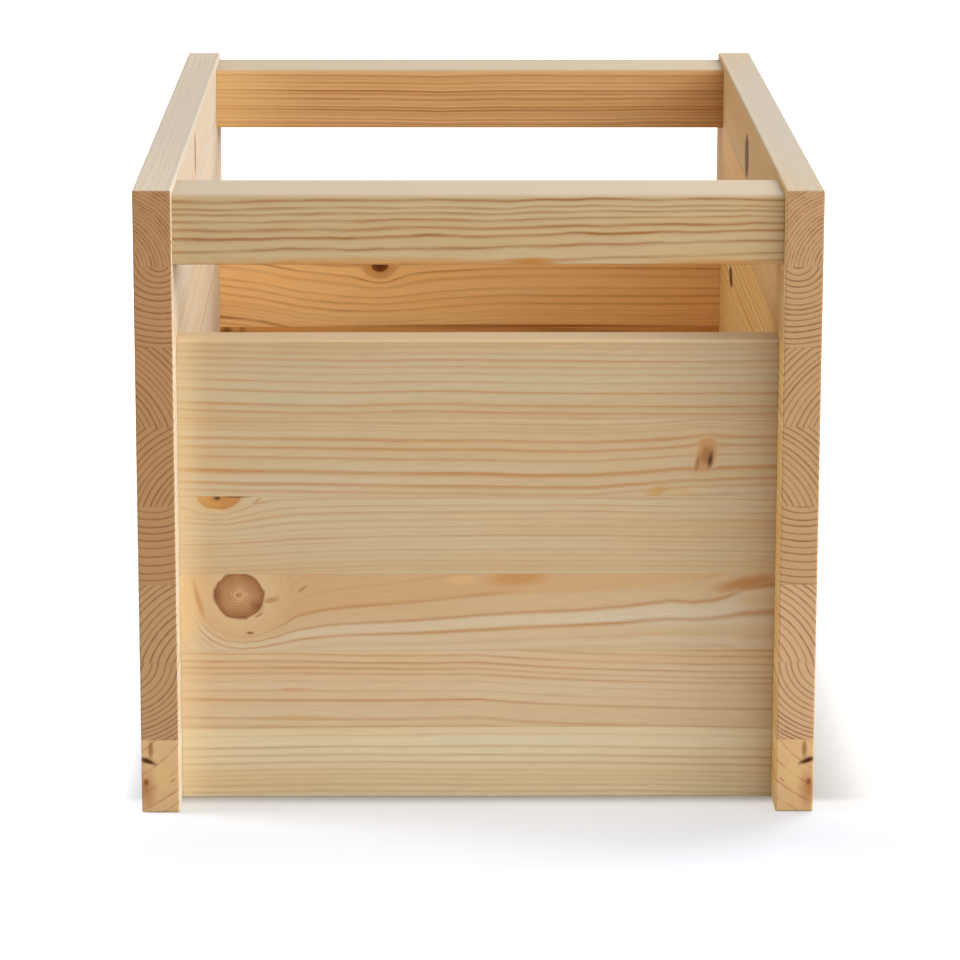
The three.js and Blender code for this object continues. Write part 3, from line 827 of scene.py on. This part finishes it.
# floor, world and lights
studio = {
    "floorSize": 14,         # m
    "floor": "#CED2D8",
    "shaded": (0.16, 0.215),  # half width over the sides and half depth over the end boards, m
    "rightward": 0.4,        # distance to the right counts so much, so the painted shadow reaches further there
    # glow of the paper against the distance from that rectangle, m: low near the box, a painted shadow round
    # its foot
    "floorGlowWithPaintedShadow": [(0, 0), (0.006, 0.1), (0.01, 0.29), (0.014, 0.36), (0.02, 0.34), (0.037, 0.27),
                  (0.068, 0.17), (0.1, 0.14), (0.13, 0.15), (0.2, 0.24), (0.33, 0.4), (0.5, 0.75),
                  (0.62, 0.93), (0.75, 1)],
    "floorBounce": 0.1,      # glow that only the box gets
    # name, azimuth (0 in front, 90 at the right), height angle, size in metres, power in watts
    "boxLamps": [
        ("low right", 65, 15, 1.6, 34),
        ("right", 80, 35, 1.3, 16),
        ("front", 20, 35, 2.2, 31),
        ("left", -90, 35, 2.2, 27),
        ("back right", 135, 35, 1.6, 33),
    ],
    "floorLamps": [
        ("overhead, for the paper", 0, 88, 1.6, 60),
        ("left, for the paper", -90, 15, 1.2, 77),
        ("back right, for the paper", 135, 35, 1.6, 25),
    ],
    "lampDistance": 2.3, "aim": (0, 0, 0.13),
}


def seenFactor(tree):
    # 1 for rays that show the white background, 0 for rays that only light the box
    path = addNode(tree, "LightPath")
    some = addNode(tree, "Math", {
        0: path.outputs["Is Camera Ray"], 1: path.outputs["Is Glossy Ray"]}, operation="MAXIMUM")
    return addNode(tree, "Math", {
        0: some.outputs[0], 1: path.outputs["Is Transmission Ray"]}, operation="MAXIMUM").outputs[0]


def whiteWorld():
    world = bpy.data.worlds.new("white studio")
    bpy.context.scene.world = world
    world.use_nodes = True
    tree = world.node_tree
    tree.nodes.clear()
    sky = addNode(tree, "Background", {"Color": white, "Strength": seenFactor(tree)})
    addNode(tree, "OutputWorld", {"Surface": sky.outputs[0]})


def studioFloor():
    # matt white paper: soft grey round the box's foot, partly a painted shadow, for its glow is low there,
    # and partly the shadow from the paper's own lamps; glowing to plain white further off
    material = bpy.data.materials.new("white paper")
    material.use_nodes = True
    tree = material.node_tree
    tree.nodes.clear()
    paper = addNode(tree, "BsdfDiffuse", {"Color": linear(studio["floor"])})
    place = addNode(tree, "TexCoord")
    halfWide, halfDeep = studio["shaded"]
    rightward = studio["rightward"]
    rightAndBack = addNode(tree, "VectorMath", {
        0: place.outputs["Object"], 1: (rightward, 1, 0), 2: (-rightward * halfWide, -halfDeep, 0)},
        operation="MULTIPLY_ADD")
    leftAndFront = addNode(tree, "VectorMath", {
        0: place.outputs["Object"], 1: (-1, -1, 0), 2: (-halfWide, -halfDeep, 0)}, operation="MULTIPLY_ADD")
    beyond = addNode(tree, "VectorMath", {0: rightAndBack.outputs[0], 1: leftAndFront.outputs[0]},
                     operation="MAXIMUM")
    beside = addNode(tree, "VectorMath", {0: beyond.outputs[0], 1: (0, 0, 0)}, operation="MAXIMUM")
    away = addNode(tree, "VectorMath", {0: beside.outputs[0]}, operation="LENGTH")
    glow = addNode(tree, "FloatCurve", {"Value": away.outputs["Value"]}, points=studio["floorGlowWithPaintedShadow"])
    shown = addNode(tree, "Mix", {
        "Factor": seenFactor(tree), "A": studio["floorBounce"], "B": glow.outputs[0]})
    light = addNode(tree, "Emission", {"Color": white, "Strength": shown.outputs[0]})
    both = addNode(tree, "AddShader", {0: paper.outputs[0], 1: light.outputs[0]})
    addNode(tree, "OutputMaterial", {"Surface": both.outputs[0]})
    mesh = bmesh.new()
    bmesh.ops.create_grid(mesh, x_segments=1, y_segments=1, size=studio["floorSize"] / 2)
    floor = bpy.data.objects.new("studio_floor", bpy.data.meshes.new("studio_floor"))
    bpy.context.scene.collection.objects.link(floor)
    mesh.to_mesh(floor.data)
    mesh.free()
    floor.data.materials.append(material)
    return floor


def softLights(floor):
    # the box and the paper have lamps of their own: front light would fill the shadow on the paper
    for lamps, state in (("boxLamps", "EXCLUDE"), ("floorLamps", "INCLUDE")):
        lit = bpy.data.collections.new(lamps)
        lit.objects.link(floor)
        lit.collection_objects[0].light_linking.link_state = state
        for name, azimuth, rise, size, power in studio[lamps]:
            light = bpy.data.lights.new(name, "AREA")
            light.shape = "DISK"
            light.size = size
            light.energy = power
            lamp = bpy.data.objects.new(name, light)
            aim = Vector(studio["aim"])
            turn = Euler((radians(90 - rise), 0, radians(azimuth)))
            lamp.location = aim + turn.to_matrix() @ Vector((0, 0, studio["lampDistance"]))
            lamp.rotation_euler = turn
            lamp.visible_camera = False
            bpy.context.scene.collection.objects.link(lamp)
            lamp.light_linking.receiver_collection = lit


# the photograph's own view
photo = {
    "lens": 159.52, "sensor": 36,  # mm
    "clipEnd": 50, "place": (-0.02223, -2.17866, 0.62145),
    "turn": (76.6911, -0.1082, -0.6551),  # degrees
}


def photoCamera():
    lens = bpy.data.cameras.new("camera")
    lens.lens = photo["lens"]
    lens.sensor_width = photo["sensor"]
    lens.clip_end = photo["clipEnd"]
    camera = bpy.data.objects.new("camera", lens)
    camera.location = photo["place"]
    camera.rotation_euler = [radians(a) for a in photo["turn"]]
    bpy.context.scene.collection.objects.link(camera)
    bpy.context.scene.camera = camera


whiteWorld()
softLights(studioFloor())
photoCamera()
bpy.context.scene.view_settings.view_transform = "Standard"
print("studio ready")
